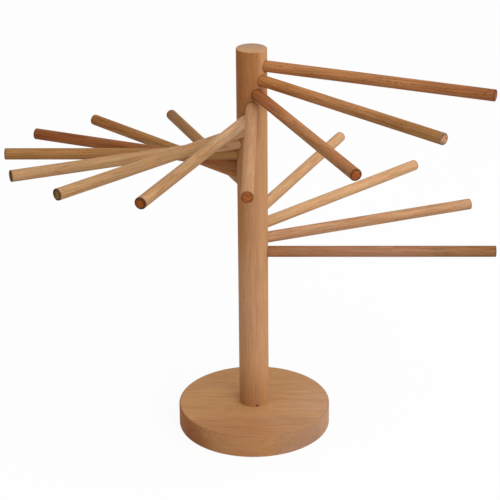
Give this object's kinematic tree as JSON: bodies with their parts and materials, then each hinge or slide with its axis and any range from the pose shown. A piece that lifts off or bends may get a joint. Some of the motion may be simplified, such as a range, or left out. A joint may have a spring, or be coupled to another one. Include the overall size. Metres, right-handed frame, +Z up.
{
  "type": "pasta drying rack",
  "caption": "Free-standing beech pasta drying rack: dowel arms wind down a round post on a round base, and each arm pulls out for storage.",
  "frame": {"origin": "centre of the base's underside, on the surface that the rack stands on", "axes": "+Z up along the post; -Y towards the viewer of the picture, +X to the viewer's right, along the lowest arm"},
  "size_m": [0.516, 0.516, 0.43],
  "materials": {
    "beech_base": "sanded smooth, unvarnished",
    "beech_post": "sanded smooth, unvarnished",
    "beech_arms": "sanded smooth, unvarnished",
    "zinc_plated_steel": "bright zinc plate"
  },
  "bodies": {
    "root": {"base_disc": "beech_base", "post": "beech_post", "post_screw": "zinc_plated_steel"},
    "arm_01": {"arm_01": "beech_arms"},
    "arm_02": {"arm_02": "beech_arms"},
    "arm_03": {"arm_03": "beech_arms"},
    "arm_04": {"arm_04": "beech_arms"},
    "arm_05": {"arm_05": "beech_arms"},
    "arm_06": {"arm_06": "beech_arms"},
    "arm_07": {"arm_07": "beech_arms"},
    "arm_08": {"arm_08": "beech_arms"},
    "arm_09": {"arm_09": "beech_arms"},
    "arm_10": {"arm_10": "beech_arms"},
    "arm_11": {"arm_11": "beech_arms"},
    "arm_12": {"arm_12": "beech_arms"},
    "arm_13": {"arm_13": "beech_arms"},
    "arm_14": {"arm_14": "beech_arms"},
    "arm_15": {"arm_15": "beech_arms"},
    "arm_16": {"arm_16": "beech_arms"}
  },
  "joints": [
    {"name": "arm_01_pull", "type": "slide", "parent": "root", "child": "arm_01", "axis": [0.9239, -0.3827, 0], "range_m": [0, 0.02]},
    {"name": "arm_02_pull", "type": "slide", "parent": "root", "child": "arm_02", "axis": [0.7071, -0.7071, 0], "range_m": [0, 0.02]},
    {"name": "arm_03_pull", "type": "slide", "parent": "root", "child": "arm_03", "axis": [0.3827, -0.9239, 0], "range_m": [0, 0.02]},
    {"name": "arm_04_pull", "type": "slide", "parent": "root", "child": "arm_04", "axis": [0, -1, 0], "range_m": [0, 0.02]},
    {"name": "arm_05_pull", "type": "slide", "parent": "root", "child": "arm_05", "axis": [-0.3827, -0.9239, 0], "range_m": [0, 0.02]},
    {"name": "arm_06_pull", "type": "slide", "parent": "root", "child": "arm_06", "axis": [-0.7071, -0.7071, 0], "range_m": [0, 0.02]},
    {"name": "arm_07_pull", "type": "slide", "parent": "root", "child": "arm_07", "axis": [-0.9239, -0.3827, 0], "range_m": [0, 0.02]},
    {"name": "arm_08_pull", "type": "slide", "parent": "root", "child": "arm_08", "axis": [-1, 0, 0], "range_m": [0, 0.02]},
    {"name": "arm_09_pull", "type": "slide", "parent": "root", "child": "arm_09", "axis": [-0.9239, 0.3827, 0], "range_m": [0, 0.02]},
    {"name": "arm_10_pull", "type": "slide", "parent": "root", "child": "arm_10", "axis": [-0.7071, 0.7071, 0], "range_m": [0, 0.02]},
    {"name": "arm_11_pull", "type": "slide", "parent": "root", "child": "arm_11", "axis": [-0.3827, 0.9239, 0], "range_m": [0, 0.02]},
    {"name": "arm_12_pull", "type": "slide", "parent": "root", "child": "arm_12", "axis": [0, 1, 0], "range_m": [0, 0.02]},
    {"name": "arm_13_pull", "type": "slide", "parent": "root", "child": "arm_13", "axis": [0.3827, 0.9239, 0], "range_m": [0, 0.02]},
    {"name": "arm_14_pull", "type": "slide", "parent": "root", "child": "arm_14", "axis": [0.7071, 0.7071, 0], "range_m": [0, 0.02]},
    {"name": "arm_15_pull", "type": "slide", "parent": "root", "child": "arm_15", "axis": [0.9239, 0.3827, 0], "range_m": [0, 0.02]},
    {"name": "arm_16_pull", "type": "slide", "parent": "root", "child": "arm_16", "axis": [1, 0, 0], "range_m": [0, 0.02]}
  ]
}
